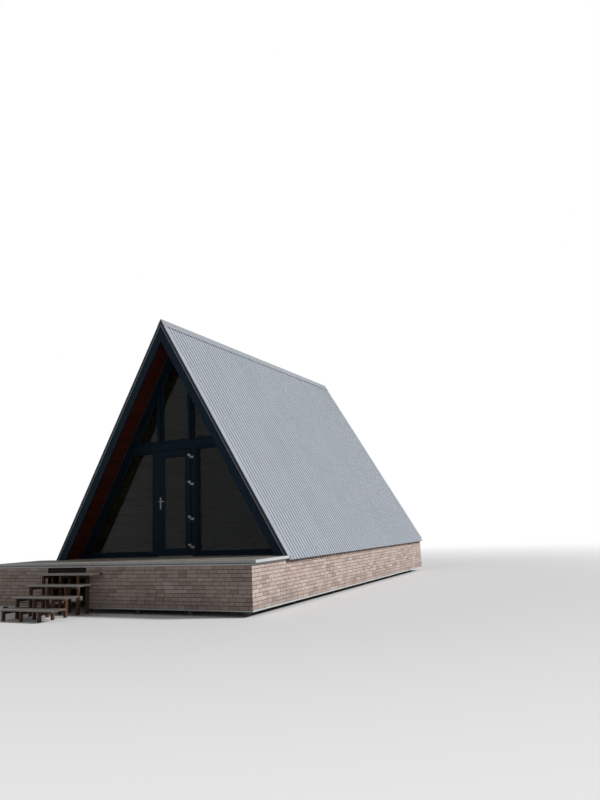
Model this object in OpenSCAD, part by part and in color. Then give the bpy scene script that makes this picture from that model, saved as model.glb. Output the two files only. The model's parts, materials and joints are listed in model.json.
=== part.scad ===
// A-frame cabin on screw piles, with a glazed gable, a front deck and an open stair.
// Millimetres, +Z up, front gable towards -Y. The origin is on the ground, under the
// middle of the ridge, at the foot of the centre pile.

/* [Roof] */
// Length of a roof slope from ridge to eave
slope_len = 6000; // [5400:50:6400]
// Pitch of both slopes above the horizontal, in degrees
roof_pitch = 60; // [58:1:62]
// Length of the roof along the ridge
roof_len = 8700; // [7500:50:9500]
// Height of the eave line above the ground
eave_z = 910; // [800:10:1100]
// Spacing of the ribs of the profiled sheet
rib_pitch = 115; // [90:5:180]
// Height of the ribs of the profiled sheet
rib_height = 12; // [8:1:18]
// Depth of rafters, insulation and battens
panel_thickness = 175; // [150:5:200]
// Thickness of soffit and lining boards
lining_thickness = 20; // [12:1:25]
// Width of the barge boards, square to the slope
fascia_width = 244; // [235:1:300]

/* [Front wall] */
// Depth of the porch under each end of the roof
porch_depth = 450; // [300:10:1200]
// Depth of the wall and window framing
wall_depth = 120; // [100:5:160]
// Face width of the sloping wall frames
rake_width = 115; // [80:5:140]
// Face width of the window frames
sash_width = 50; // [40:2:60]
// Underside of the transom beam above the eave line
transom_low = 2350; // [2250:10:2450]
// Height of the transom beam
transom_height = 150; // [100:5:220]
// Middle of each upper mullion from the ridge line
mullion_x = 422; // [380:2:480]
// Face width of each upper mullion
mullion_width = 40; // [30:2:60]
// Height of the wall sill
sill_height = 55; // [40:5:90]
// Thickness of the glazing units
glass_thickness = 24; // [16:1:36]

/* [Door] */
// Width of the door leaf
leaf_width = 840; // [780:10:880]
// Thickness of the door leaf
leaf_thickness = 70; // [58:2:78]
// Face width of the stiles and rails of the leaf
stile_width = 135; // [115:5:150]
// Face width of each door post beside the door frame
post_width = 110; // [80:5:150]
// Height of the lever above the eave line
lever_height = 1215; // [1000:5:1300]
// Radius of the hinge knuckles
knuckle_radius = 9; // [8:0.5:10]

/* [Base and skirt] */
// Gap between the ground and the skirt panels
skirt_gap = 90; // [50:5:200]
// Thickness of the skirt panels
skirt_thickness = 25; // [15:1:35]
// Radius of the screw piles
pile_radius = 54; // [38:1:66]
// Height of the floor platform and of the deck's joists
platform_height = 150; // [120:5:180]
// Thickness of the floor and deck boards
board_thickness = 36; // [28:1:40]

/* [Deck and stair] */
// Depth of the deck in front of the roof
deck_depth = 1250; // [1000:10:1800]
// Reach of the deck to the left of the ridge line
deck_left = 3500; // [3300:10:4200]
// Width of one deck board
board_width = 140; // [110:5:160]
// Gap between deck boards
board_gap = 5; // [4:1:8]
// Number of treads below the deck
tread_count = 4; // [3:1:4]
// Height from one tread to the next
tread_rise = 183; // [160:1:190]
// Depth from one tread edge to the next
tread_going = 300; // [260:5:320]
// Left end of the treads from the ridge line
stair_left = 1820; // [1750:10:1880]
// Right end of the treads from the ridge line
stair_right = 420; // [380:10:600]
// Middle of the rightmost stair frame from the ridge line
step_frame_right = 790; // [650:10:800]
// Distance between stair frames
step_frame_pitch = 460; // [400:10:480]

/* [Rear wall] */
// Width of the lower rear window
rear_low_width = 1200; // [800:10:1400]
// Height of the lower rear window
rear_low_height = 1200; // [900:10:1300]
// Width and height of the upper rear window
rear_high_size = 800; // [600:10:850]

/* [Hidden] */

// Roof layers. An inset is measured square to the slope, inwards from its outer plane.
ridge_z = eave_z + slope_len * sin(roof_pitch);
flashing = 4;
sheet_thickness = 2;
cap_inset = -5;
verge_inset = 2;
rib_inset = verge_inset + flashing;
panel_inset = rib_inset + rib_height + sheet_thickness;
lining_inset = panel_inset + panel_thickness;
room_inset = lining_inset + lining_thickness;
seam = 0.2;
sheet_overhang = 40;
barge_thickness = 25;
barge_front = barge_thickness + 3;
drip_lip = 8;

y_front = -roof_len / 2;
y_rear = roof_len / 2;
floor_z = eave_z + board_thickness;

// Front wall.
wall_y = y_front + porch_depth;
wall_back = wall_y + wall_depth;
glass_y = wall_y + (wall_depth - glass_thickness) / 2;
rake_inset = room_inset + rake_width + seam;
transom_z = eave_z + transom_low;
upper_z = transom_z + transom_height;
sill_z = floor_z + sill_height;
sash_depth = 80;
sash_y = wall_y + (wall_depth - sash_depth) / 2;
sash_step = 12;

// Door. The leaf stands proud of the wall, and its gap lets the free edge swing out.
door_gap = 9;
stop_gap = 5;
door_proud = 12;
jamb_width = 30;
stop_overlap = 22;
threshold_height = 20;
clear_half = leaf_width / 2 + door_gap;
opening_half = clear_half + jamb_width;
post_outer = opening_half + post_width;
threshold_z = floor_z + threshold_height;
head_z = transom_z - jamb_width;
leaf_low = threshold_z + door_gap;
leaf_high = head_z - door_gap;
leaf_y = wall_y - door_proud;
leaf_back = leaf_y + leaf_thickness;
stop_y = leaf_back + stop_gap;

// Hinges and handle.
hinge_x = leaf_width / 2 + 10;
hinge_y = leaf_y - 14;
hinge_heights = [250, 835, 1575, 2155];
knuckle_len = 40;
knuckle_gap = 1;
hinge_plate = 5;
pin_radius = 4;
pin_clearance = 0.06;
lever_x = -leaf_width / 2 + 45;
lever_z = eave_z + lever_height;
spindle_radius = 6;
spindle_clearance = 0.08;
plate_thickness = 8;
plate_half = 16;
plate_low = 149;
plate_high = 79;

// Base and deck.
rim = 45;
platform_half = slope_len * cos(roof_pitch) - 120;
platform_low = eave_z - platform_height;
skirt_face = platform_half + skirt_thickness;
beam_height = 200;
beam_half = 75;
beam_z = platform_low - beam_height;
head_plate = 8;
head_half = 100;
pile_x = platform_half - 180;
deck_y = y_front - deck_depth;
board_overhang = 20;
skirt_y = deck_y + board_overhang;
deck_frame_y = skirt_y + skirt_thickness;
deck_right = slope_len * cos(roof_pitch);
deck_side = deck_left - board_overhang;
deck_skirt_top = eave_z - 50;
rim_left = skirt_thickness - deck_side;
rim_back = y_front - skirt_thickness;
joist_bays = 12;
strip_height = 46;
strip_depth = 4;
strip_flange = 40;
strip_sheet = 2;
trim_depth = 4;
trim_width = 24;

// Stair and the opening in the skirt behind it.
opening_left = 1900;
opening_right = 860;
nosing = 20;
tread_thickness = 30;
step_post = 50;
back_post_gap = 15;
bearer_height = 60;

// Rear wall.
rear_y = y_rear - porch_depth;
rear_low_z = floor_z + 900;
rear_high_z = eave_z + 2650;
rear_frame = 60;
rear_sill_reach = 40;

// Finishes.
metal_colour = "#3d4650";
frame_colour = "#27313d";
stain_colour = "#6b2c1d";
pine_colour = "#c79a62";
brick_colour = "#8d7a70";
strip_colour = "#c9cbcc";
deck_colour = "#8b8782";
post_colour = "#6e4630";
steel_colour = "#50555a";
glass_colour = "#8fa6ad";
silver_colour = "#d8dadb";

function slope_x(inset, z) = (ridge_z - z) / tan(roof_pitch) - inset / sin(roof_pitch);
function slope_z(inset, x) = ridge_z - (x + inset / sin(roof_pitch)) * tan(roof_pitch);
function down_slope(run, inset) = [
    run * cos(roof_pitch) - inset * sin(roof_pitch),
    ridge_z - run * sin(roof_pitch) - inset * cos(roof_pitch)
];
function reversed(points) = [for (i = [len(points) - 1:-1:0]) points[i]];
function flipped(points) = [for (p = reversed(points)) [-p[0], p[1]]];

// Extrudes an outline drawn in X and Z along Y.
module along_y(y1, y2) {
    translate([0, y2, 0]) rotate([90, 0, 0]) linear_extrude(y2 - y1) children();
}

module block(x1, x2, y1, y2, z1, z2) {
    translate([x1, y1, z1]) cube([x2 - x1, y2 - y1, z2 - z1]);
}

// A round bar along Y.
module bar_y(x, z, y1, y2, radius) {
    translate([x, y1, z]) rotate([-90, 0, 0]) cylinder(r = radius, h = y2 - y1, $fn = 48);
}

module left_side() {
    mirror([1, 0, 0]) children();
}

module both_sides() {
    children();
    left_side() children();
}

// Repeats what stands at the front end of the roof at its rear end.
module both_ends() {
    children();
    mirror([0, 1, 0]) children();
}

// One layer of the right-hand slope between two insets, mitred on the ridge line.
module slope_layer(outer, inner, foot, y1, y2) {
    along_y(y1, y2) polygon([
        [0, slope_z(outer, 0)], [slope_x(outer, foot), foot],
        [slope_x(inner, foot), foot], [0, slope_z(inner, 0)]
    ]);
}

// Foundation: screw piles with square head plates.
cabin_rows = [for (i = [-2:2]) i * (roof_len - 1200) / 4];
deck_pile_left = rim_left + 150;
deck_columns = [for (i = [0:5]) deck_pile_left + i * (pile_x - deck_pile_left) / 5];

module pile(x, y, top) {
    translate([x, y, 0]) cylinder(r = pile_radius, h = top - head_plate, $fn = 48);
    block(x - head_half, x + head_half, y - head_half, y + head_half, top - head_plate, top);
}

module piles() {
    color(steel_colour) {
        for (x = [-pile_x, 0, pile_x], y = cabin_rows) pile(x, y, beam_z);
        for (x = deck_columns) pile(x, deck_frame_y + 150, platform_low);
        pile(deck_pile_left, y_front - 160, platform_low);
    }
}

module floor_beams() {
    color(pine_colour) for (x = [-pile_x, 0, pile_x])
        block(x - beam_half, x + beam_half, y_front + 30, y_rear - 30, beam_z, platform_low);
}

// Floor platform: the wide part carries the slopes, the step on it is the floor.
module floor_slab() {
    low_half = slope_x(room_inset, eave_z);
    high_half = slope_x(room_inset, floor_z);
    overlap = 1;
    color(pine_colour) union() {
        block(-platform_half, platform_half, y_front, y_rear - skirt_thickness, platform_low, eave_z);
        along_y(wall_y, rear_y) polygon([
            [-low_half, eave_z - overlap], [low_half, eave_z - overlap], [low_half, eave_z],
            [high_half, floor_z], [-high_half, floor_z], [-low_half, eave_z]
        ]);
    }
}

// Deck: rims and joists on their own piles, tied to the front of the platform.
module deck_rims() {
    color(pine_colour) {
        block(rim_left, platform_half, deck_frame_y, deck_frame_y + rim, platform_low, eave_z);
        union() {
            block(rim_left, platform_half, rim_back - rim, rim_back, platform_low, eave_z);
            block(-platform_half, platform_half, rim_back - 1, y_front, platform_low, eave_z);
        }
    }
}

module deck_joists() {
    pitch = (platform_half - rim - rim_left) / joist_bays;
    color(pine_colour) for (i = [0:joist_bays]) {
        x = rim_left + i * pitch;
        block(x, x + rim, deck_frame_y + rim, rim_back - rim, platform_low, eave_z);
    }
}

module board_row(x1, x2, y1, y2) {
    count = round((y2 - y1 + board_gap) / (board_width + board_gap));
    pitch = (y2 - y1 + board_gap) / count;
    for (i = [0:count - 1])
        block(x1, x2, y1 + i * pitch, y1 + (i + 1) * pitch - board_gap, eave_z, floor_z);
}

module deck_boards() {
    half = slope_x(room_inset, floor_z) - 3;
    color(deck_colour) {
        board_row(-deck_left, deck_right, deck_y, y_front - seam);
        board_row(-half, half, y_front + board_gap, wall_y - 2);
        board_row(-half, half, rear_y + 2, y_rear);
    }
}

// Drip edge: a light angle over the ends of the boards, clear of the barge boards' feet.
module deck_edge_strip() {
    low = floor_z - strip_height;
    top = floor_z + strip_sheet;
    left = -deck_left - strip_depth;
    right = deck_right + strip_depth;
    front = deck_y - strip_depth;
    right_end = y_front - barge_front - drip_lip - 6;
    back_end = -deck_right - 2 * strip_flange;
    color(strip_colour) union() {
        block(left, right, front, deck_y, low, top);
        block(left, right, front, deck_y + strip_flange, floor_z, top);
        block(left, -deck_left, front, y_front + strip_depth, low, top);
        block(left, -deck_left + strip_flange, front, y_front, floor_z, top);
        block(deck_right, right, front, right_end, low, top);
        block(deck_right - strip_flange, right, front, right_end, floor_z, top);
        block(left, back_end, y_front, y_front + strip_depth, low, top);
        block(left, back_end, y_front - strip_flange, y_front + strip_depth, floor_z, top);
    }
}

// Skirt of moulded brick panels that hang clear of the ground. Under the deck they stop
// short of the boards, and the rim shows in the gap.
module skirt_panel(x1, x2, y1, y2, top = eave_z) {
    color(brick_colour) block(x1, x2, y1, y2, skirt_gap, top);
}

module skirt_front_left() {
    skirt_panel(-deck_side, -opening_left, skirt_y, deck_frame_y, deck_skirt_top);
}

module skirt_front_right() {
    skirt_panel(-opening_right, skirt_face, skirt_y, deck_frame_y, deck_skirt_top);
}

module skirt_deck_right() {
    skirt_panel(platform_half, skirt_face, deck_frame_y, y_front, deck_skirt_top);
}

module skirt_right() {
    skirt_panel(platform_half, skirt_face, y_front, y_rear);
}

module skirt_left() {
    skirt_panel(-skirt_face, -platform_half, y_front, y_rear);
}

module skirt_rear() {
    skirt_panel(-platform_half, platform_half, y_rear - skirt_thickness, y_rear);
}

// Return of the skirt round the free end of the deck, back to the corner of the cabin.
module skirt_deck_left() {
    union() {
        skirt_panel(-deck_side, rim_left, deck_frame_y, y_front, deck_skirt_top);
        skirt_panel(-deck_side, -platform_half, rim_back, y_front, deck_skirt_top);
    }
}

// Light starter strips along the skirt's foot and edging strips beside the stair.
module skirt_trim() {
    t = trim_depth;
    front = skirt_y - t;
    module foot_strip(x1, x2, y1, y2) block(x1, x2, y1, y2, skirt_gap, skirt_gap + trim_width);
    module edge_strip(x1) block(x1, x1 + trim_width, front, skirt_y, skirt_gap, deck_skirt_top);
    color(strip_colour) union() {
        foot_strip(-deck_side - t, -opening_left, front, skirt_y);
        edge_strip(-opening_left - trim_width);
        foot_strip(-deck_side - t, -deck_side, front, y_front + t);
        foot_strip(-deck_side, -skirt_face, y_front, y_front + t);
        foot_strip(-skirt_face - t, -skirt_face, y_front, y_rear + t);
        foot_strip(-skirt_face - t, skirt_face + t, y_rear, y_rear + t);
        foot_strip(skirt_face, skirt_face + t, front, y_rear + t);
        foot_strip(-opening_right, skirt_face + t, front, skirt_y);
        edge_strip(-opening_right);
    }
}

// Stair: three frames of posts and bearers that step up to the deck, and plank treads. The
// back posts stand just in front of the skirt.
function tread_y(i) = deck_y - i * tread_going;
function tread_z(i) = floor_z - i * tread_rise;

module step_frame(x) {
    module slab(y1, y2, z1, z2) block(x, x + step_post, y1, y2, z1, z2);
    last_back = skirt_y - back_post_gap;
    union() {
        slab(last_back - step_post, last_back, 0, tread_z(1) - tread_thickness);
        for (i = [1:tread_count]) {
            seat = tread_z(i) - tread_thickness;
            post_y = tread_y(i) + nosing;
            back = i == 1 ? last_back : tread_y(i - 1) + nosing + step_post;
            slab(post_y, post_y + step_post, 0, seat);
            slab(post_y, back, seat - bearer_height, seat);
        }
    }
}

module stair_posts() {
    color(post_colour) for (i = [0:2])
        step_frame(-step_frame_right - i * step_frame_pitch - step_post / 2);
}

module stair_treads() {
    color(deck_colour) for (i = [1:tread_count])
        block(-stair_left, -stair_right, tread_y(i), tread_y(i) + tread_going - board_gap,
            tread_z(i) - tread_thickness, tread_z(i));
}

// Roof structure and covering.
module roof_panel() {
    color(pine_colour) slope_layer(panel_inset + seam, lining_inset, eave_z, y_front, y_rear);
}

module roof_panel_right() {
    roof_panel();
}

module roof_panel_left() {
    left_side() roof_panel();
}

// Roof covering: a folded sheet with trapezoid ribs that run down the slope.
rib_web = rib_height;
rib_top = rib_pitch * 0.36;
rib_count = floor((roof_len - rib_pitch / 2) / rib_pitch);
rib_start = (roof_len - (rib_count - 1) * rib_pitch - rib_top - 2 * rib_web) / 2;

function rib_line(drop) = concat(
    [[0, -drop]],
    [for (i = [0:rib_count - 1], p = [
        [0, 0], [rib_web, rib_height], [rib_web + rib_top, rib_height], [2 * rib_web + rib_top, 0]
    ]) [rib_start + i * rib_pitch + p[0], p[1] - drop]],
    [[roof_len, -drop]]
);

module roof_sheet() {
    first = panel_inset * tan(roof_pitch) + 2;
    color(metal_colour) translate([0, y_front, ridge_z]) rotate([0, 90 + roof_pitch, 0])
        rotate([0, 0, 90]) translate([0, sheet_thickness - panel_inset, first])
            linear_extrude(slope_len + sheet_overhang - first)
                polygon(concat(rib_line(0), reversed(rib_line(sheet_thickness))));
}

module roof_sheet_right() {
    roof_sheet();
}

module roof_sheet_left() {
    left_side() roof_sheet();
}

// Folded cap along the ridge, with hems that rest on the verge flashings.
module ridge_cap() {
    reach = 190;
    hem = 9;
    under = cap_inset + flashing;
    side = [
        down_slope(reach, cap_inset), down_slope(reach, verge_inset),
        down_slope(reach - hem, verge_inset), down_slope(reach - hem, under)
    ];
    color(metal_colour) along_y(y_front - barge_front, y_rear + barge_front) polygon(concat(
        [[0, slope_z(cap_inset, 0)]], side, [[0, slope_z(under, 0)]], flipped(side)
    ));
}

// Verge flashing: a flange over the ribs, a leg over the barge board and a drip lip.
module verge_flashing() {
    flange = 95;
    leg = 72;
    lip = 3;
    face = y_front - barge_front;
    color(metal_colour) union() {
        slope_layer(verge_inset, rib_inset, floor_z, face, y_front + flange);
        slope_layer(verge_inset, leg, floor_z, face, y_front - barge_thickness);
        slope_layer(leg - lip, leg, floor_z, face - drip_lip, y_front - barge_thickness);
    }
}

module verge_right() {
    both_ends() verge_flashing();
}

module verge_left() {
    left_side() both_ends() verge_flashing();
}

module barge_board() {
    color(frame_colour)
        slope_layer(rib_inset, rib_inset + fascia_width, floor_z, y_front - barge_thickness, y_front);
}

module fascia_right() {
    both_ends() barge_board();
}

module fascia_left() {
    left_side() both_ends() barge_board();
}

// Closure strip with a drip under the foot of each slope.
module eave_trims() {
    outer = slope_x(panel_inset, eave_z) - 2;
    color(metal_colour) both_sides() along_y(y_front, y_rear) polygon([
        [skirt_face, eave_z], [outer, eave_z], [outer, eave_z - 34], [outer - 3, eave_z - 34],
        [outer - 3, eave_z - 12], [skirt_face, eave_z - 12]
    ]);
}

module soffit() {
    color(stain_colour) both_ends() slope_layer(lining_inset, room_inset, eave_z, y_front, wall_y);
}

module soffit_right() {
    soffit();
}

module soffit_left() {
    left_side() soffit();
}

module lining() {
    color(pine_colour) slope_layer(lining_inset, room_inset, eave_z, wall_y, rear_y);
}

module lining_right() {
    lining();
}

module lining_left() {
    left_side() lining();
}

// Front wall members.
module rake_frame() {
    color(frame_colour) slope_layer(room_inset, rake_inset - seam, floor_z, wall_y, wall_back);
}

module rake_frame_right() {
    rake_frame();
}

module rake_frame_left() {
    left_side() rake_frame();
}

module front_sills() {
    color(frame_colour) both_sides() along_y(wall_y, wall_back) polygon([
        [post_outer, floor_z], [slope_x(rake_inset, floor_z), floor_z],
        [slope_x(rake_inset, sill_z), sill_z], [post_outer, sill_z]
    ]);
}

module transom_beam() {
    low = slope_x(rake_inset, transom_z);
    high = slope_x(rake_inset, upper_z);
    color(frame_colour) along_y(wall_y, wall_back)
        polygon([[-low, transom_z], [low, transom_z], [high, upper_z], [-high, upper_z]]);
}

module door_posts() {
    color(frame_colour) both_sides()
        block(opening_half, post_outer, wall_y, wall_back, floor_z, transom_z);
}

module upper_mullions() {
    inner = mullion_x - mullion_width / 2;
    outer = mullion_x + mullion_width / 2;
    proud = 15;
    color(frame_colour) both_sides() along_y(wall_y - proud, wall_back) polygon([
        [inner, upper_z], [outer, upper_z],
        [outer, slope_z(rake_inset, outer)], [inner, slope_z(rake_inset, inner)]
    ]);
}

// Outlines of the window openings. Each grows smaller by the width given to it.
function lower_pane(by) = [
    [post_outer + by, sill_z + by], [slope_x(rake_inset + by, sill_z + by), sill_z + by],
    [slope_x(rake_inset + by, transom_z - by), transom_z - by], [post_outer + by, transom_z - by]
];

function side_pane(by) = let (x = mullion_x + mullion_width / 2 + by, z = upper_z + by) [
    [x, z], [slope_x(rake_inset + by, z), z], [x, slope_z(rake_inset + by, x)]
];

function centre_pane(by) = let (x = mullion_x - mullion_width / 2 - by, z = upper_z + by) [
    [-x, z], [x, z], [x, slope_z(rake_inset + by, x)],
    [0, slope_z(rake_inset + by, 0)], [-x, slope_z(rake_inset + by, x)]
];

// A window frame: an outer frame with a narrower step in front of it.
module sash(outer, step, inner) {
    along_y(sash_y, sash_y + sash_depth) difference() {
        polygon(outer);
        polygon(inner);
    }
    along_y(sash_y - sash_step, sash_y) difference() {
        polygon(step);
        polygon(inner);
    }
}

module window_frames() {
    color(frame_colour) {
        both_sides() {
            sash(lower_pane(0), lower_pane(sash_step), lower_pane(sash_width));
            sash(side_pane(0), side_pane(sash_step), side_pane(sash_width));
        }
        sash(centre_pane(0), centre_pane(sash_step), centre_pane(sash_width));
    }
}

module front_glass() {
    color(glass_colour) {
        both_sides() along_y(glass_y, glass_y + glass_thickness) {
            polygon(lower_pane(sash_width));
            polygon(side_pane(sash_width));
        }
        along_y(glass_y, glass_y + glass_thickness) polygon(centre_pane(sash_width));
    }
}

// Door frame: jambs and head with a stop behind the leaf, and a low threshold.
module door_jambs() {
    color(frame_colour) both_sides() translate([0, 0, threshold_z]) linear_extrude(head_z - threshold_z)
        polygon([
            [clear_half, wall_y], [opening_half, wall_y], [opening_half, wall_back],
            [clear_half - stop_overlap, wall_back], [clear_half - stop_overlap, stop_y], [clear_half, stop_y]
        ]);
}

module door_head() {
    stop_half = clear_half - stop_overlap;
    color(frame_colour) union() {
        block(-opening_half, opening_half, wall_y, wall_back, head_z, transom_z);
        block(-stop_half, stop_half, stop_y, wall_back, head_z - stop_overlap, head_z + 1);
    }
}

module door_threshold() {
    color(silver_colour) block(-opening_half, opening_half, wall_y, wall_back, floor_z, threshold_z);
}

module leaf_opening() {
    x = leaf_width / 2 - stile_width;
    translate([-x, leaf_low + stile_width]) square([2 * x, leaf_high - leaf_low - 2 * stile_width]);
}

module door_leaf() {
    bore = spindle_radius + spindle_clearance;
    color(frame_colour) difference() {
        block(-leaf_width / 2, leaf_width / 2, leaf_y, leaf_back, leaf_low, leaf_high);
        along_y(leaf_y - 1, leaf_back + 1) leaf_opening();
        bar_y(lever_x, lever_z, leaf_y - 1, leaf_back + 1, bore);
    }
}

module door_glass() {
    middle = (leaf_y + leaf_back) / 2;
    color(glass_colour)
        along_y(middle - glass_thickness / 2, middle + glass_thickness / 2) leaf_opening();
}

// Lift-off hinges: the lower knuckle and its pin stay on the frame.
module hinge_post(z) {
    low = z - knuckle_len;
    pin_reach = 35;
    union() {
        translate([hinge_x, hinge_y, low]) cylinder(r = knuckle_radius, h = knuckle_len, $fn = 48);
        translate([hinge_x, hinge_y, z - 1]) cylinder(r = pin_radius, h = pin_reach + 1, $fn = 48);
        block(hinge_x + 2, hinge_x + knuckle_radius + hinge_plate, hinge_y, wall_y, low, z);
        block(hinge_x + 2, hinge_x + 70, wall_y - hinge_plate, wall_y, low - 6, z);
    }
}

module hinge_posts() {
    color(silver_colour) for (h = hinge_heights) hinge_post(eave_z + h);
}

module hinge_leaf(z) {
    low = z + knuckle_gap;
    end_wall = 2;
    difference() {
        union() {
            translate([hinge_x, hinge_y, low]) cylinder(r = knuckle_radius, h = knuckle_len, $fn = 48);
            block(hinge_x - 20, hinge_x - 6, hinge_y - 3, leaf_y, low, low + knuckle_len);
            block(hinge_x - 72, hinge_x - 12, leaf_y - hinge_plate, leaf_y, low, low + knuckle_len + 6);
        }
        translate([hinge_x, hinge_y, low - 1])
            cylinder(r = pin_radius + pin_clearance, h = knuckle_len + 1 - end_wall, $fn = 48);
    }
}

module hinge_leaves() {
    color(silver_colour) for (h = hinge_heights) hinge_leaf(eave_z + h);
}

// Long plates with round ends on both faces of the leaf, drilled for the spindle.
module handle_plate(y) {
    difference() {
        union() {
            block(lever_x - plate_half, lever_x + plate_half, y, y + plate_thickness,
                lever_z - plate_low, lever_z + plate_high);
            bar_y(lever_x, lever_z - plate_low, y, y + plate_thickness, plate_half);
            bar_y(lever_x, lever_z + plate_high, y, y + plate_thickness, plate_half);
        }
        bar_y(lever_x, lever_z, y - 1, y + plate_thickness + 1, spindle_radius + spindle_clearance);
    }
}

module handle_plates() {
    color(silver_colour) {
        handle_plate(leaf_y - plate_thickness);
        handle_plate(leaf_back);
    }
}

// One lever on each side of the leaf, fused to a spindle that runs through it.
module door_lever() {
    grip_len = 115;
    grip_half = 10;
    grip_thickness = 12;
    neck_radius = 8;
    reach = 40;
    play = 1;
    outer_y = leaf_y - plate_thickness;
    inner_y = leaf_back + plate_thickness;
    module grip(y) {
        block(lever_x, lever_x + grip_len, y, y + grip_thickness, lever_z - grip_half, lever_z + grip_half);
        for (x = [lever_x, lever_x + grip_len])
            bar_y(x, lever_z, y, y + grip_thickness, grip_half);
    }
    color(silver_colour) union() {
        bar_y(lever_x, lever_z, outer_y - reach, inner_y + reach, spindle_radius);
        bar_y(lever_x, lever_z, outer_y - reach, outer_y - play, neck_radius);
        bar_y(lever_x, lever_z, inner_y + play, inner_y + reach, neck_radius);
        grip(outer_y - reach - grip_thickness / 2);
        grip(inner_y + reach - grip_thickness / 2);
    }
}

// Closed rear gable with one window on each storey.
module window_hole(width, z, height, inset = 0) {
    translate([inset - width / 2, z + inset]) square([width - 2 * inset, height - 2 * inset]);
}

module rear_wall() {
    color(stain_colour) along_y(rear_y - wall_depth, rear_y) difference() {
        polygon([
            [-slope_x(room_inset, floor_z), floor_z], [slope_x(room_inset, floor_z), floor_z],
            [0, slope_z(room_inset, 0)]
        ]);
        window_hole(rear_low_width, rear_low_z, rear_low_height);
        window_hole(rear_high_size, rear_high_z, rear_high_size);
    }
}

module rear_frame_ring(width, z, height) {
    recess = 5;
    sill_drop = 20;
    union() {
        along_y(rear_y - recess - sash_depth, rear_y - recess) difference() {
            window_hole(width, z, height);
            window_hole(width, z, height, rear_frame);
        }
        block(-width / 2 - rear_sill_reach, width / 2 + rear_sill_reach,
            rear_y, rear_y + rear_sill_reach, z - sill_drop, z + recess);
        block(-width / 2, width / 2, rear_y - recess - 1, rear_y + 1, z, z + recess);
    }
}

module rear_window_frames() {
    color(frame_colour) {
        rear_frame_ring(rear_low_width, rear_low_z, rear_low_height);
        rear_frame_ring(rear_high_size, rear_high_z, rear_high_size);
    }
}

module rear_glass() {
    y = rear_y - (sash_depth + glass_thickness) / 2;
    color(glass_colour) along_y(y, y + glass_thickness) {
        window_hole(rear_low_width, rear_low_z, rear_low_height, rear_frame);
        window_hole(rear_high_size, rear_high_z, rear_high_size, rear_frame);
    }
}

piles();
floor_beams();
floor_slab();
deck_rims();
deck_joists();
deck_boards();
deck_edge_strip();
skirt_front_left();
skirt_front_right();
skirt_deck_left();
skirt_deck_right();
skirt_left();
skirt_right();
skirt_rear();
skirt_trim();
stair_posts();
stair_treads();
roof_panel_left();
roof_panel_right();
roof_sheet_left();
roof_sheet_right();
ridge_cap();
verge_left();
verge_right();
fascia_left();
fascia_right();
eave_trims();
soffit_left();
soffit_right();
lining_left();
lining_right();
rake_frame_left();
rake_frame_right();
front_sills();
transom_beam();
door_posts();
upper_mullions();
window_frames();
front_glass();
door_jambs();
door_head();
door_threshold();
door_leaf();
door_glass();
hinge_leaves();
hinge_posts();
handle_plates();
door_lever();
rear_wall();
rear_window_frames();
rear_glass();
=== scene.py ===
"""Looks of the A-frame cabin. Metres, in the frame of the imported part: +Z up, front gable towards -Y."""

import json
import math
import random

import bmesh
import bpy
from mathutils import Matrix, Vector


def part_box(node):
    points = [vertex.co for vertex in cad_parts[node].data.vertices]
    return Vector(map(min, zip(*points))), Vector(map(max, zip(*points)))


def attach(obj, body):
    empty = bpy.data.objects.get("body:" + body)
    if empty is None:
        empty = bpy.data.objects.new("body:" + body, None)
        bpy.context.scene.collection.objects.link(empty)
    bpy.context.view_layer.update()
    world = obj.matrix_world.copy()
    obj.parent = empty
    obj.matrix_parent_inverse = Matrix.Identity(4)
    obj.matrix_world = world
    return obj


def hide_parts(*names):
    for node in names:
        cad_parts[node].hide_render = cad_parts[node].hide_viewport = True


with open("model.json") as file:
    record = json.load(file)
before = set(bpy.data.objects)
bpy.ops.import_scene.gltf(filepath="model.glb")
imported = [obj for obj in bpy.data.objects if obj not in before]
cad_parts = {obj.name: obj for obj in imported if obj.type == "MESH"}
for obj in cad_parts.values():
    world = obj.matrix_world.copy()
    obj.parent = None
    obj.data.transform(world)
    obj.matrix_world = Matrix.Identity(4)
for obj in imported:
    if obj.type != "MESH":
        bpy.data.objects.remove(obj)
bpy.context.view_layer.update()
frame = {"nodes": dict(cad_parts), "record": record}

X_AXIS = Vector((1, 0, 0))
Y_AXIS = Vector((0, 1, 0))
Z_AXIS = Vector((0, 0, 1))
MM = 0.001

# Corners of a box
LOW, HIGH = 0, 1

# Roof: insets are measured square to the slope, inwards from its outer plane.
PITCH = math.radians(60)
SIN, COS, TAN = math.sin(PITCH), math.cos(PITCH), math.tan(PITCH)
RIB_PITCH = 115 * MM
RIB_HEIGHT = 12 * MM
RIB_TOP = 0.36 * RIB_PITCH
RIB_WIDTH = RIB_TOP + 2 * RIB_HEIGHT
PANEL_INSET = 20 * MM
SHEET = 2 * MM
LINING_INSET = 195 * MM
LINING = 20 * MM
ROOM_INSET = LINING_INSET + LINING
RAKE_FRAME = 115 * MM
RAKE_INSET = ROOM_INSET + RAKE_FRAME
CAP_INSET = -5 * MM
CAP_REACH = 190 * MM

# Places that are read from the frame.
panel_low, panel_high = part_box("roof_panel_right")
transom_low, transom_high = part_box("transom_beam")
glass_low, glass_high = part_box("front_glass")
deck_low, deck_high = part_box("deck_boards")
leaf_low, leaf_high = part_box("door_leaf")
door_glass_low, door_glass_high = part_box("door_glass")
rear_low, rear_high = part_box("rear_wall")
rear_glass_low, rear_glass_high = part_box("rear_glass")
joist_low, joist_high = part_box("deck_joists")
rims_low, rims_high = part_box("deck_rims")
treads_low, treads_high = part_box("stair_treads")
plates_low, plates_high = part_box("handle_plates")
lever_low, lever_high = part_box("door_lever")

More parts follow.
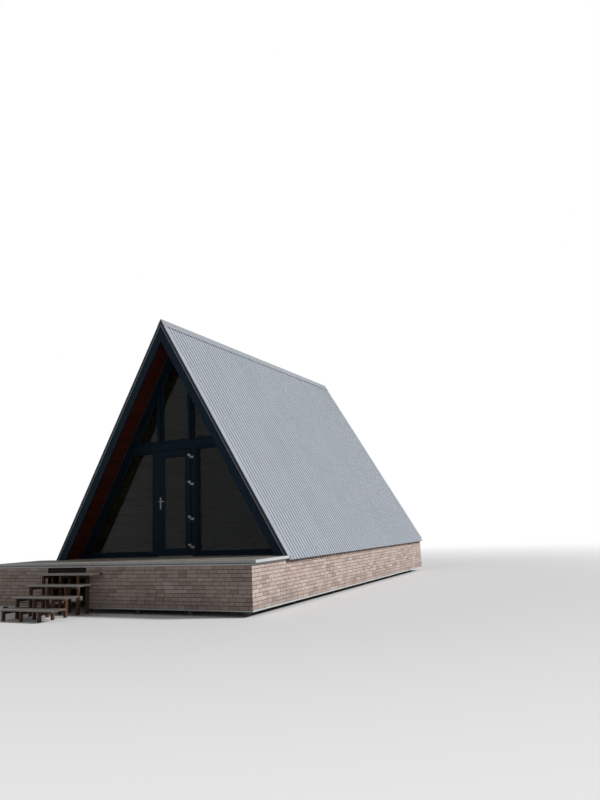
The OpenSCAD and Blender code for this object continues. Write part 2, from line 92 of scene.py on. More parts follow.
Y_FRONT, Y_REAR = panel_low.y, panel_high.y
RIDGE_Z = panel_high.z + PANEL_INSET / COS
EAVE_Z = panel_low.z
FLOOR_Z = deck_high.z
SLOPE_LENGTH = (RIDGE_Z - EAVE_Z) / SIN
WALL_Y, WALL_BACK = transom_low.y, transom_high.y
TRANSOM_Z, UPPER_Z = transom_low.z, transom_high.z
SILL_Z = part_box("front_sills")[HIGH].z
POST_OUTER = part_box("door_posts")[HIGH].x
MULLION_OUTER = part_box("upper_mullions")[HIGH].x
MULLION_WIDTH = 40 * MM
MULLION_INNER = MULLION_OUTER - MULLION_WIDTH
RIB_COUNT = math.floor((Y_REAR - Y_FRONT - RIB_PITCH / 2) / RIB_PITCH)
RIB_START = (Y_REAR - Y_FRONT - (RIB_COUNT - 1) * RIB_PITCH - RIB_WIDTH) / 2


# Shapes

def mm(*pairs):
    """Pairs of millimetres in metres."""
    return [(a * MM, b * MM) for a, b in pairs]


def slope_x(inset, z):
    """Distance from the ridge line at which a layer of the right-hand slope passes a height."""
    return (RIDGE_Z - z) / TAN - inset / SIN


def slope_z(inset, x):
    """Height at which a layer of the right-hand slope passes a distance from the ridge line."""
    return RIDGE_Z - (x + inset / SIN) * TAN


def on_slope(side, run, y, inset):
    """A point of a slope: side is 1 on the right and -1 on the left, run goes down from the ridge."""
    return Vector((side * (run * COS - inset * SIN), y, RIDGE_Z - run * SIN - inset * COS))


def facing(origin, u, v, out):
    """A placement with u and v along a face and out square to it."""
    place = Matrix((u, v, out)).transposed().to_4x4()
    place.translation = origin
    return place


def lying(x, y, z):
    """A level placement, with u along X and v along Y."""
    return facing(Vector((x, y, z)), X_AXIS, Y_AXIS, Z_AXIS)


def standing(x, y, z, out):
    """An upright placement across the cabin, with u along X, v upwards, and out to the front or rear."""
    return facing(Vector((x, y, z)), X_AXIS, Z_AXIS, out)


def slope_facing(side, run, y, inset):
    down = Vector((side * COS, 0, -SIN))
    out = Vector((side * SIN, 0, COS))
    return facing(on_slope(side, run, y, inset), down, Y_AXIS, out)


class Shape:
    """The closed solids of one piece. Each has a tone from 0 to 1, which its material reads."""

    def __init__(self):
        self.verts = []
        self.faces = []
        self.tones = []

    def add(self, verts, faces, place, tone):
        start = len(self.verts)
        self.verts.extend(place @ Vector(v) for v in verts)
        self.faces.extend(tuple(start + i for i in face) for face in faces)
        self.tones.extend([tone] * len(verts))


def rectangle(x1, y1, x2, y2):
    return [(x1, y1), (x2, y1), (x2, y2), (x1, y2)]


def shrunk(outline, inset):
    """A convex outline, counter-clockwise, with every edge moved inwards."""
    points = []
    for i, corner in enumerate(outline):
        before = (Vector(corner) - Vector(outline[i - 1])).normalized()
        after = (Vector(outline[(i + 1) % len(outline)]) - Vector(corner)).normalized()
        first, second = Vector((-before.y, before.x)), Vector((-after.y, after.x))
        points.append(Vector(corner) + (first + second) * (inset / (1 + first.dot(second))))
    return points


def band(first, second, count):
    """Faces between two loops of the same number of points."""
    afters = [(i + 1) % count for i in range(count)]
    return [(first + i, first + after, second + after, second + i) for i, after in enumerate(afters)]


def stacked(verts, count):
    """Faces of a solid whose points are loops of one number, one after the other. Both ends are closed."""
    faces = [tuple(range(count)), tuple(range(len(verts) - count, len(verts)))]
    for start in range(0, len(verts) - count, count):
        faces += band(start, start + count, count)
    return faces


def loft(shape, outline, profile, place, tone=0.5):
    """Stacks an outline at the (inset, height) pairs of a profile."""
    verts = [(*point, height) for inset, height in profile for point in shrunk(outline, inset)]
    shape.add(verts, stacked(verts, len(outline)), place, tone)


def board(shape, place, length, width, thickness, edge, tone=0.5):
    """A plate with the same small chamfer on both faces."""
    profile = [(edge, 0), (0, edge), (0, thickness - edge), (edge, thickness)]
    loft(shape, rectangle(0, 0, length, width), profile, place, tone)


def lathe(shape, profile, sides, place, tone=0.5, stretch=1.0):
    """Turns (radius, height) pairs round the third axis of a placement."""
    turns = [2 * math.pi * (i + 0.5) / sides for i in range(sides)]
    verts = [(r * math.cos(a), r * math.sin(a) * stretch, h) for r, h in profile for a in turns]
    shape.add(verts, stacked(verts, sides), place, tone)


def sweep(shape, outline_at, profile, place, tone=0.5):
    """Sweeps a closed profile of (inset, height) pairs round an outline that shrinks by its inset."""
    verts = [(*point, height) for inset, height in profile for point in outline_at(inset)]
    count = len(verts) // len(profile)
    faces = []
    for k in range(len(profile)):
        faces += band(k * count, (k + 1) % len(profile) * count, count)
    shape.add(verts, faces, place, tone)


def new_object(name, data):
    obj = bpy.data.objects.new(name, data)
    bpy.context.scene.collection.objects.link(obj)
    return obj


# Name of the attribute that carries the tones of a piece
TONE = "tone"


def piece(name, shape, material, body="cabin", stands_for=()):
    mesh = bpy.data.meshes.new(name)
    mesh.from_pydata(shape.verts, [], shape.faces)
    mesh.attributes.new(TONE, "FLOAT", "POINT").data.foreach_set("value", shape.tones)
    edit = bmesh.new()
    edit.from_mesh(mesh)
    bmesh.ops.recalc_face_normals(edit, faces=edit.faces)
    edit.to_mesh(mesh)
    edit.free()
    mesh.materials.append(material)
    obj = new_object(name, mesh)
    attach(obj, body)
    if stands_for:
        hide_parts(*stands_for)


# Materials

# Ranges that one noise, and the sum of two, mostly keep to.
NOISE_SPAN = (0.3, 0.7)
SUM_SPAN = (0.7, 1.3)
NOISE_ROUGHNESS = 0.55

# Places of the sockets that a mix of colours uses, among all those of its node.
MIX_FACTOR, MIX_FIRST, MIX_SECOND, MIX_RESULT = 0, 6, 7, 2


class Nodes:
    """The nodes of a material or of the world."""

    def __init__(self, owner):
        owner.use_nodes = True
        self.tree = owner.node_tree
        self.tree.nodes.clear()

    def feed(self, socket, value):
        if isinstance(value, bpy.types.NodeSocket):
            self.tree.links.new(value, socket)
        else:
            socket.default_value = value

    def feed_colour(self, socket, value):
        self.feed(socket, value if isinstance(value, bpy.types.NodeSocket) else (*value, 1))

    def node(self, kind, **inputs):
        made = self.tree.nodes.new("ShaderNode" + kind)
        for socket, value in inputs.items():
            self.feed(made.inputs[socket.replace("_", " ")], value)
        return made

    def calc(self, operation, first, second):
        made = self.node("Math")
        made.operation = operation
        self.feed(made.inputs[0], first)
        self.feed(made.inputs[1], second)
        return made.outputs[0]

    def spread(self, value, low, high, to_low=0.0, to_high=1.0, kind="LINEAR"):
        """Maps a range of values to another range, and keeps it within its ends."""
        ends = {"From_Min": low, "From_Max": high, "To_Min": to_low, "To_Max": to_high}
        made = self.node("MapRange", Value=value, **ends)
        made.interpolation_type = kind
        return made.outputs["Result"]

    def from_origin(self):
        """Distance from the object's origin."""
        made = self.node("VectorMath")
        made.operation = "LENGTH"
        self.feed(made.inputs[0], self.node("TexCoord").outputs["Object"])
        return made.outputs["Value"]

    def seen_directly(self):
        """Is 1 for what the camera sees, also in gloss and through glass, and 0 for light that bounces."""
        paths = self.node("LightPath").outputs
        seen = self.calc("MAXIMUM", paths["Is Camera Ray"], paths["Is Glossy Ray"])
        return self.calc("MAXIMUM", seen, paths["Is Transmission Ray"])


class Look(Nodes):
    """A material: a Principled shader and the nodes that feed it."""

    def __init__(self, name, colour, roughness, **values):
        self.material = bpy.data.materials.new(name)
        super().__init__(self.material)
        self.shader = self.node("BsdfPrincipled", Base_Color=(*colour, 1), Roughness=roughness, **values)
        self.node("OutputMaterial", Surface=self.shader.outputs["BSDF"])
        self.material.diffuse_color = (*colour, 1)

    def place(self, scale=(1, 1, 1)):
        """The point in the part's own frame, stretched by a scale on each axis."""
        coords = self.node("TexCoord")
        return self.node("Mapping", Vector=coords.outputs["Object"], Scale=scale).outputs["Vector"]

    def along(self, axis):
        """The place along an axis of the part, in metres."""
        return self.node("SeparateXYZ", Vector=self.place()).outputs[axis]

    def inset(self):
        """How far a point lies inside the outer plane of the slope on its own side."""
        drop = self.calc("MULTIPLY", self.calc("SUBTRACT", RIDGE_Z, self.along("Z")), COS)
        reach = self.calc("MULTIPLY", self.calc("ABSOLUTE", self.along("X"), 0.0), SIN)
        return self.calc("SUBTRACT", drop, reach)

    def tone(self):
        made = self.node("Attribute")
        made.attribute_name = TONE
        return made.outputs["Fac"]

    def noise(self, scale, detail, stretch=(1, 1, 1), shift=None):
        """Clouds of a scale per metre. A shift, such as a board's tone, gives another part of them."""
        made = self.node("TexNoise", Vector=self.place(stretch), Scale=scale, Detail=detail,
                         Roughness=NOISE_ROUGHNESS)
        if shift is not None:
            made.noise_dimensions = "4D"
            self.feed(made.inputs["W"], shift)
        return made.outputs["Fac"]

    def mix(self, factor, first, second, blend="MIX"):
        made = self.node("Mix")
        made.data_type = "RGBA"
        made.blend_type = blend
        self.feed(made.inputs[MIX_FACTOR], factor)
        self.feed_colour(made.inputs[MIX_FIRST], first)
        self.feed_colour(made.inputs[MIX_SECOND], second)
        return made.outputs[MIX_RESULT]

    def ramp(self, value, stops):
        made = self.node("ValToRGB", Fac=value)
        points = made.color_ramp.elements
        while len(points) < len(stops):
            points.new(0.5)
        for point, (position, colour) in zip(points, stops):
            point.position = position
            point.color = (*colour, 1)
        return made.outputs["Color"]

    def colour(self, value):
        self.feed(self.shader.inputs["Base Color"], value)

    def rough(self, noise, low, high, span=NOISE_SPAN):
        """Lets the roughness follow a noise between two ends."""
        self.feed(self.shader.inputs["Roughness"], self.spread(noise, *span, low, high))

    def bump(self, height, depth):
        """Adds relief of a given depth in metres on top of any earlier relief."""
        made = self.node("Bump", Height=height, Distance=depth, Strength=1.0)
        earlier = self.shader.inputs["Normal"].links
        if earlier:
            self.feed(made.inputs["Normal"], earlier[0].from_socket)
        self.feed(self.shader.inputs["Normal"], made.outputs["Normal"])


def scaled(colour, by):
    return tuple(c * by for c in colour)


ALONG_X, ALONG_Y, ALONG_Z = range(3)
GRAIN = 0.06
GRAIN_SHIFT = 41.0
WEATHERED = (0.36, 0.35, 0.33)


def grain(axis):
    """Stretch of a grain that runs along an axis."""
    return tuple(GRAIN if i == axis else 1.0 for i in range(3))


def wood(name, light, dark, axis, roughness, fibre=0.4 * MM, weather=0.0):
    """Boards with rings and fibres along an axis. Each board's tone sets its shade and shifts its grain."""
    look = Look(name, light, roughness, Specular_IOR_Level=0.2)
    shift = look.calc("MULTIPLY", look.tone(), GRAIN_SHIFT)
    rings = look.spread(look.noise(scale=16, detail=2, stretch=grain(axis), shift=shift), *NOISE_SPAN)
    fibres = look.noise(scale=150, detail=3, stretch=grain(axis), shift=shift)
    base = look.mix(rings, light, dark)
    base = look.mix(look.spread(fibres, 0.35, 0.7, to_high=0.45), base, scaled(dark, by=0.6))
    base = look.mix(look.spread(look.tone(), 0, 1, to_high=0.35), base, scaled(dark, by=0.8))
    if weather:
        patches = look.spread(look.noise(scale=3.0, detail=4), 0.4, 0.7, to_high=weather)
        base = look.mix(patches, base, WEATHERED)
    look.colour(base)
    look.rough(fibres, roughness - 0.08, roughness + 0.12)
    look.bump(fibres, fibre)
    look.bump(rings, fibre)
    return look.material


DOWN_RIBS = (0.25, 9.0, 0.25)
UPRIGHT = (9.0, 9.0, 0.3)
WAVES = 0.25 * MM


def sheet_finish(look, roughness, streaks):
    """Slight waves and an uneven sheen of coated sheet. Returns its soft patches and its streaks."""
    cloud = look.noise(scale=1.3, detail=4)
    streak = look.noise(scale=1.0, detail=4, stretch=streaks)
    look.rough(look.calc("ADD", cloud, streak), roughness - 0.05, roughness + 0.10, span=SUM_SPAN)
    look.bump(look.noise(scale=5.0, detail=2, stretch=(1, 1, 0.4)), WAVES)
    return cloud, streak


def painted_metal(name, colour, roughness, streaks=DOWN_RIBS, level=0.5):
    """Coated sheet with dust in soft patches and run-off streaks."""
    look = Look(name, colour, roughness, Specular_IOR_Level=level)
    cloud, streak = sheet_finish(look, roughness, streaks)
    base = look.mix(look.spread(cloud, 0.35, 0.65, to_high=0.25), colour, scaled(colour, by=1.35))
    base = look.mix(look.spread(streak, 0.45, 0.75, to_high=0.35), base, scaled(colour, by=0.75))
    look.colour(base)
    return look.material


# Lightness of the ribbed sheet from the middle of a crown, at 0, to the middle of a pan, at 1: a painted
# highlight on the crowns, and painted shade on the flanks and in the pans, darkest at the foot of each rib.
RIB_PAINTED_LIGHT_AND_SHADE = ((0.00, 1.22), (0.34, 1.26), (0.46, 0.80), (0.57, 0.60), (0.68, 0.80), (1.00, 0.90))
STREAK_SHADE = (0.70, 0.71, 0.74)
DUST_SHADE = (0.80, 0.80, 0.80)


def ribbed_metal(name, colour, roughness=0.42):
    """Profiled sheet with a painted highlight on its crowns and painted shade in its pans, darkest at the
    foot of each rib, under soft dust patches and run-off streaks.
    """
    look = Look(name, colour, roughness, Specular_IOR_Level=0.35)
    crown = Y_FRONT + RIB_START + RIB_WIDTH / 2
    turns = look.calc("DIVIDE", look.calc("SUBTRACT", look.along("Y"), crown), RIB_PITCH)
    from_crown = look.calc("MULTIPLY", look.calc("PINGPONG", turns, 0.5), 2.0)
    base = look.ramp(from_crown, [(position, scaled(colour, by)) for position, by in RIB_PAINTED_LIGHT_AND_SHADE])
    cloud, streak = sheet_finish(look, roughness, DOWN_RIBS)
    base = look.mix(look.spread(streak, 0.45, 0.75, to_high=0.30), base, STREAK_SHADE, "MULTIPLY")
    base = look.mix(look.spread(cloud, 0.40, 0.65, to_high=0.20), base, DUST_SHADE, "MULTIPLY")
    look.colour(base)
    return look.material


# Insets at which the verge flashing turns from its flange to its face, which carries painted shade, and
# from its face to its lip, which carries a painted highlight.
FLANGE_EDGE = (8 * MM, 12 * MM)
LIP_EDGE = (66 * MM, 68 * MM)
VERGE_DIRT = (0.6, 0.6, 0.62)


def verge_flashing(name, flange, face, lip_highlight, roughness=0.45):
    """Flashing that is light on top of the roof, with dirt, painted shade on its face and a painted
    highlight along its lip, in patches.
    """
    look = Look(name, face, roughness, Specular_IOR_Level=0.2)
    inset = look.inset()
    base = look.mix(look.spread(inset, *FLANGE_EDGE), flange, face)
    dirt = look.spread(look.noise(scale=2.0, detail=4), 0.4, 0.7, to_high=0.35)
    base = look.mix(dirt, base, VERGE_DIRT, "MULTIPLY")
    # Patches along the lip where the painted highlight is weaker.
    wear = look.spread(look.noise(scale=14, detail=3), 0.25, 0.5, to_low=0.7)
    edge = look.calc("MULTIPLY", look.spread(inset, *LIP_EDGE), wear)
    look.colour(look.mix(edge, base, lip_highlight))
    look.rough(look.noise(scale=30, detail=3), roughness - 0.08, roughness + 0.10)
    look.bump(look.noise(scale=5.0, detail=2), WAVES)
    return look.material


def foil(name, colour, roughness=0.5):
    """Matt foil of window and door profiles, with a fine pressed grain along it."""
    look = Look(name, colour, roughness, Specular_IOR_Level=0.05)
    cloud = look.noise(scale=4, detail=3)
    pressed = look.noise(scale=420, detail=2, stretch=(1, 1, 0.08))
    look.colour(look.mix(look.spread(cloud, 0.35, 0.7, to_high=0.5), colour, scaled(colour, by=1.45)))
    look.rough(pressed, roughness - 0.05, roughness + 0.1)
    look.bump(pressed, 0.08 * MM)
    return look.material


BRICK = (0.40, 0.34, 0.31)
BRICK_TONES = [
    (0.00, (0.40, 0.300, 0.262)), (0.20, (0.50, 0.385, 0.338)), (0.45, (0.57, 0.445, 0.390)),
    (0.70, (0.62, 0.500, 0.446)), (0.86, (0.52, 0.420, 0.380)), (1.00, (0.68, 0.570, 0.515)),
]
BRICK_MOTTLE = (0.33, 0.26, 0.225)
BRICK_GRIT = (0.24, 0.195, 0.175)
BRICK_SHIFT = 23.0
SPLASH = (0.22, 0.185, 0.16)


def brick(name):
    """Moulded bricks, each of its own tone, with dirt splashed up from the ground."""
    look = Look(name, BRICK, 0.85)
    tone = look.tone()
    mottle = look.noise(scale=30, detail=5, shift=look.calc("MULTIPLY", tone, BRICK_SHIFT))
    grit = look.noise(scale=240, detail=4)
    above = look.calc("SUBTRACT", look.along("Z"), look.noise(scale=2.5, detail=3))
    base = look.ramp(tone, BRICK_TONES)
    base = look.mix(look.spread(mottle, 0.45, 0.7, to_high=0.35), base, BRICK_MOTTLE)
    base = look.mix(look.spread(grit, 0.5, 0.75, to_high=0.35), base, BRICK_GRIT)
    base = look.mix(look.spread(above, -0.42, -0.1, to_low=0.45, to_high=0.0), base, SPLASH)
    look.colour(base)
    look.rough(grit, 0.75, 0.95)
    look.bump(mottle, 2.0 * MM)
    look.bump(grit, 0.7 * MM)
    return look.material


PANEL = (0.46, 0.44, 0.42)
MORTAR = (0.085, 0.070, 0.063)
MORTAR_DARK = (0.055, 0.045, 0.040)
MORTAR_GRIT = (0.035, 0.03, 0.027)


def mortar(name):
    """Joints between the bricks, darker in patches, and gritty."""
    look = Look(name, PANEL, 0.9)
    grit = look.noise(scale=300, detail=4)
    patches = look.spread(look.noise(scale=5, detail=4), 0.35, 0.7, to_high=0.7)
    base = look.mix(patches, MORTAR, MORTAR_DARK)
    base = look.mix(look.spread(grit, 0.5, 0.7, to_high=0.4), base, MORTAR_GRIT)
    look.colour(base)
    look.bump(grit, 0.8 * MM)
    return look.material


def glass(name, tint):
    """Tinted panes with a low index, so that they mirror little of the white surroundings."""
    look = Look(name, tint, 0.02, Transmission_Weight=1.0, IOR=1.2)
    look.bump(look.noise(scale=1.6, detail=2), 0.15 * MM)
    return look.material


def rubber(name, colour):
    """Dull rubber with fine pores."""
    look = Look(name, colour, 0.6)
    pores = look.noise(scale=500, detail=2)
    look.rough(pores, 0.5, 0.7)
    look.bump(pores, 0.05 * MM)
    return look.material


def bright_metal(name, colour, roughness, level=0.3):
    """Bare or coated trim with dirt in spots and a fine grain."""
    look = Look(name, colour, roughness, Specular_IOR_Level=level)
    dirt = look.noise(scale=7, detail=4)
    look.colour(look.mix(look.spread(dirt, 0.5, 0.75, to_high=0.35), colour, scaled(colour, by=0.6)))
    look.rough(look.noise(scale=60, detail=3), roughness - 0.08, roughness + 0.12)
    look.bump(look.noise(scale=500, detail=2), 0.04 * MM)
    return look.material


# Colours. A wood has a light and a dark one.
NAVY = (0.009, 0.024, 0.042)
FRAME = (0.006, 0.017, 0.028)
GRAPHITE = (0.345, 0.376, 0.420)
# Painted shade: the verge faces take this colour, and the eave trim a darker one, for the shade that falls
# on them.
FLASHING_PAINTED_SHADE = (0.050, 0.062, 0.080)
# Light metal of the deck's head strip. On the verge lips it is a painted highlight.
LIGHT_METAL_AND_LIP_HIGHLIGHT = (0.80, 0.81, 0.82)
PALE_METAL = (0.60, 0.615, 0.62)
WHITE_METAL = (0.58, 0.585, 0.58)
DULL_METAL = (0.36, 0.36, 0.35)
GREY_METAL = (0.20, 0.21, 0.215)
STEEL = (0.085, 0.09, 0.095)
RUBBER = (0.012, 0.012, 0.013)
GLASS = (0.26, 0.35, 0.40)
STAIN = (0.15, 0.032, 0.018), (0.070, 0.015, 0.009)
PINE = (0.62, 0.40, 0.20), (0.42, 0.23, 0.10)
DECK = (0.32, 0.285, 0.25), (0.19, 0.165, 0.14)
# The treads are darker than the deck boards: painted shade for the shade on their tops.
TREAD_PAINTED_SHADE = (0.15, 0.125, 0.105), (0.085, 0.07, 0.058)
# The rims are a dark board, darkened further as painted shade for the recess behind the skirt, the head
# strip and the stair.
RIM_DARK_AND_PAINTED_SHADE = (0.035, 0.030, 0.025), (0.02, 0.017, 0.014)
JOIST = (0.45, 0.31, 0.18), (0.30, 0.19, 0.10)
POST = (0.16, 0.088, 0.050), (0.085, 0.044, 0.025)

roof_metal = ribbed_metal("roof metal", GRAPHITE)
cap_metal = painted_metal("ridge metal", scaled(GRAPHITE, by=0.80), 0.42, level=0.35)
# The eave trim, and the verge screws with it, are painted near black: painted shade for the shadow line
# under the eave and on the verge faces.
trim_metal_painted_shade = painted_metal("eave metal", scaled(FLASHING_PAINTED_SHADE, by=0.4), 0.45, level=0.1)
# Verge: a light flange, painted shade on the face and a painted highlight on the lip.
verge_metal = verge_flashing("verge metal", scaled(GRAPHITE, by=1.1), FLASHING_PAINTED_SHADE, LIGHT_METAL_AND_LIP_HIGHLIGHT)
barge_paint = painted_metal("barge paint", NAVY, 0.5, UPRIGHT, level=0.07)
frame_foil = foil("frame foil", FRAME)
stained_along_y = wood("stained boards", *STAIN, ALONG_Y, 0.55)
stained_upright = wood("stained cladding", *STAIN, ALONG_Z, 0.55)
pine_along_y = wood("pine lining", *PINE, ALONG_Y, 0.45)
pine_upright = wood("pine wall", *PINE, ALONG_Z, 0.45)
deck_wood = wood("deck boards", *DECK, ALONG_X, 0.75, fibre=0.8 * MM, weather=0.5)
tread_wood = wood("tread boards", *TREAD_PAINTED_SHADE, ALONG_X, 0.75, fibre=0.8 * MM, weather=0.15)
rim_wood = wood("dark rims", *RIM_DARK_AND_PAINTED_SHADE, ALONG_X, 0.8, fibre=0.6 * MM)
joist_wood = wood("joists", *JOIST, ALONG_Y, 0.8, fibre=0.6 * MM)
post_wood = wood("stair posts", *POST, ALONG_Z, 0.65, fibre=0.6 * MM)
brick_face = brick("moulded brick")
joint_face = mortar("brick joints")
pane_glass = glass("window glass", GLASS)
seal_rubber = rubber("rubber seal", RUBBER)
pale_metal = bright_metal("pale trim", PALE_METAL, 0.45)
strip_metal = bright_metal("head strip", LIGHT_METAL_AND_LIP_HIGHLIGHT, 0.4, level=0.5)
nosing_metal = bright_metal("tread nosings", DULL_METAL, 0.5)
white_metal = bright_metal("white hardware", WHITE_METAL, 0.35, level=0.15)
sill_metal = bright_metal("threshold metal", GREY_METAL, 0.5)
steel = painted_metal("pile steel", STEEL, 0.55, UPRIGHT)

slot_looks = {
    "pile_steel": steel,
    "structural_timber": joist_wood,
    "deck_timber": deck_wood,
    "stair_timber": post_wood,
    "pale_trim": pale_metal,
    "brick_panels": joint_face,
    "roof_metal": roof_metal,
    "barge_boards": barge_paint,
    "stained_boards": stained_upright,
    "pine_lining": pine_along_y,
    "dark_frames": frame_foil,
    "window_glass": pane_glass,
    "white_hardware": white_metal,
}
node_looks = {
    "deck_rims": rim_wood,
    "door_threshold": sill_metal,
    "verge_left": verge_metal,
    "verge_right": verge_metal,
    "ridge_cap": cap_metal,
    "eave_trims": trim_metal_painted_shade,
}

for subpart in frame["record"]["subparts"]:
    materials = frame["nodes"][subpart["node"]].data.materials
    materials.clear()
    materials.append(node_looks.get(subpart["node"], slot_looks[subpart["material_slot"]]))


# Small rounded edges on the members that show, by their width in millimetres

EDGES = {
    3.0: ("door_leaf", "stair_posts", "floor_beams"),
    2.5: ("transom_beam", "door_posts", "upper_mullions", "door_threshold"),
    2.0: ("rake_frame_left", "rake_frame_right", "front_sills", "window_frames", "rear_window_frames",
          "deck_rims", "deck_joists"),
    1.5: ("door_jambs", "door_head", "fascia_left", "fascia_right"),
    1.2: ("handle_plates", "door_lever"),
    0.8: ("hinge_leaves", "hinge_posts", "ridge_cap"),
    0.7: ("verge_left", "verge_right"),
    0.6: ("deck_edge_strip", "skirt_trim"),
}
WELD_REACH = 0.01 * MM
EDGE_SEGMENTS = 2
EDGE_ANGLE = math.radians(35)

for width, names in EDGES.items():
    for name in names:
        modifiers = frame["nodes"][name].modifiers
        modifiers.new("weld", "WELD").merge_threshold = WELD_REACH
        bevel = modifiers.new("edges", "BEVEL")
        bevel.width = width * MM
        bevel.segments = EDGE_SEGMENTS
        bevel.limit_method = "ANGLE"
        bevel.angle_limit = EDGE_ANGLE
        bevel.harden_normals = True


# Skirt bricks

COURSES = 11
JOINT = 8 * MM
BRICK_DEPTH = 9 * MM
BRICK_LET_IN = 1 * MM
BRICK_LENGTHS = (0.15, 0.27)
FIRST_BRICK = 0.55
SHORTEST_BRICK = 0.09
SLIVER = 1 * MM
FOOT_STRIP = 24 * MM
SIDE_STRIP = 26 * MM
EAVE_SEAM = 14 * MM
FOOT_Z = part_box("skirt_right")[LOW].z + FOOT_STRIP
DECK_SKIRT_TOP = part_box("skirt_front_left")[HIGH].z
COURSE = (DECK_SKIRT_TOP - FOOT_Z) / COURSES
CUT_TOP = EAVE_Z - EAVE_SEAM


def add_brick(shape, place, length, height, dice):
    """One moulded brick with an uneven face and worn edges. Dents and strays are in millimetres."""
    columns, rows = 5, 2
    wear = 2.5 * MM
    dent = 1.3
    stray = 1
    swell = [[dice.uniform(-dent, 0.0) * MM for _ in range(columns + 1)] for _ in range(rows + 1)]
    front, rim = [], []
    for j in range(rows + 1):
        for i in range(columns + 1):
            u = wear + (length - 2 * wear) * i / columns + dice.uniform(-stray, stray) * MM
            v = wear + (height - 2 * wear) * j / rows + dice.uniform(-stray, stray) * MM
            front.append((u, v, BRICK_DEPTH + swell[j][i]))
            rim.append((length * i / columns, height * j / rows))
    width = columns + 1
    border = list(range(width))
    border += [j * width + columns for j in range(1, rows + 1)]
    border += [rows * width + i for i in range(columns - 1, -1, -1)]
    border += [j * width for j in range(rows - 1, 0, -1)]
    count = len(border)
    shoulder = len(front)
    base = shoulder + count
    verts = front + [(*rim[b], BRICK_DEPTH - wear - dice.uniform(0, stray) * MM) for b in border]
    verts += [(*rim[b], -BRICK_LET_IN) for b in border]
    faces = [
        (j * width + i, j * width + i + 1, (j + 1) * width + i + 1, (j + 1) * width + i)
        for j in range(rows) for i in range(columns)
    ]
    for k in range(count):
        after = (k + 1) % count
        faces.append((border[k], border[after], shoulder + after, shoulder + k))
        faces.append((shoulder + k, shoulder + after, base + after, base + k))
    faces.append(tuple(range(base, base + count)))
    shape.add(verts, faces, place, dice.random())


def brick_field(shape, corner, run, out, length, dice, start_turn=None, end_turn=None, cut_from=None):
    """Courses of bricks on a panel. A turn is 0 where the even courses pass the corner at that end, and 1
    where the odd ones do. A cut course comes on top from the place that cut_from gives."""
    tops = [FOOT_Z + COURSE * (i + 1) for i in range(COURSES)]
    if cut_from is not None:
        tops.append(CUT_TOP)
    low = FOOT_Z
    for course, top in enumerate(tops):
        odd = course % 2
        start = -BRICK_DEPTH if odd == start_turn else 0.0
        end = length + (BRICK_DEPTH if odd == end_turn else 0.0)
        if course == COURSES:
            start = max(start, cut_from)
        at = start
        while at < end - SLIVER:
            size = dice.uniform(*BRICK_LENGTHS)
            if at == start and odd:
                size *= FIRST_BRICK
            if end - at - size < SHORTEST_BRICK:
                size = end - at
            place = facing(corner + run * at + Z_AXIS * (low + JOINT / 2), run, Z_AXIS, out)
            add_brick(shape, place, min(size, end - at) - JOINT / 2, top - low - JOINT, dice)
            at += size + JOINT / 2
        low = top


def skirt_bricks():
    front_low, front_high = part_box("skirt_front_left")
    right_low, right_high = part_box("skirt_front_right")
    left_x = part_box("skirt_left")[LOW].x
    rear_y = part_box("skirt_rear")[HIGH].y
    back_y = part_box("skirt_deck_left")[HIGH].y
    front_y = front_low.y

    def field(name, seed, *walls):
        dice = random.Random(seed)
        shape = Shape()
        for x, y, run, out, length, turns in walls:
            brick_field(shape, Vector((x, y, 0)), run, out, length, dice, **turns)
        piece(name, shape, brick_face)

    field("bricks_front_left", 11, (
        front_low.x, front_y, X_AXIS, -Y_AXIS, front_high.x - SIDE_STRIP - front_low.x,
        {"start_turn": 0},
    ))
    field("bricks_front_right", 12, (
        right_low.x + SIDE_STRIP, front_y, X_AXIS, -Y_AXIS, right_high.x - right_low.x - SIDE_STRIP,
        {"end_turn": 0},
    ))
    field("bricks_deck_left", 13, (
        front_low.x, back_y, -Y_AXIS, -X_AXIS, back_y - front_y,
        {"start_turn": 0, "end_turn": 1},
    ), (
        front_low.x, back_y, X_AXIS, Y_AXIS, left_x - front_low.x - BRICK_DEPTH,
        {"start_turn": 1},
    ))
    field("bricks_right", 14, (
        right_high.x, front_y, Y_AXIS, X_AXIS, rear_y - front_y,
        {"start_turn": 1, "end_turn": 0, "cut_from": Y_FRONT - front_y},
    ))
    field("bricks_left", 15, (
        left_x, rear_y, -Y_AXIS, -X_AXIS, rear_y - back_y - BRICK_DEPTH,
        {"start_turn": 0, "cut_from": 0.0},
    ))
    field("bricks_rear", 16, (
        right_high.x, rear_y, -X_AXIS, Y_AXIS, right_high.x - left_x,
        {"start_turn": 1, "end_turn": 1, "cut_from": 0.0},
    ))


# Boards

BOARD_EDGE = 2.5 * MM
BUTT_GAP = 1 * MM
SIDE_GAP = 3 * MM
WALL_GAP = 2 * MM


def planks(shape, x1, x2, y1, y2, rows, gap, stops, dice):
    """Rows of deck planks along X. Each row has its butt joint at the next of the stops."""
    pitch = (y2 - y1 + gap) / rows
    for row in range(rows):
        cuts = [x1, stops[row % len(stops)], x2]
        for start, end in zip(cuts, cuts[1:]):
            left = start + (BUTT_GAP if start != x1 else 0)
            right = end - (BUTT_GAP if end != x2 else 0)
            place = lying(left, y1 + row * pitch, EAVE_Z)
            board(shape, place, right - left, pitch - gap, FLOOR_Z - EAVE_Z, BOARD_EDGE, dice.random())


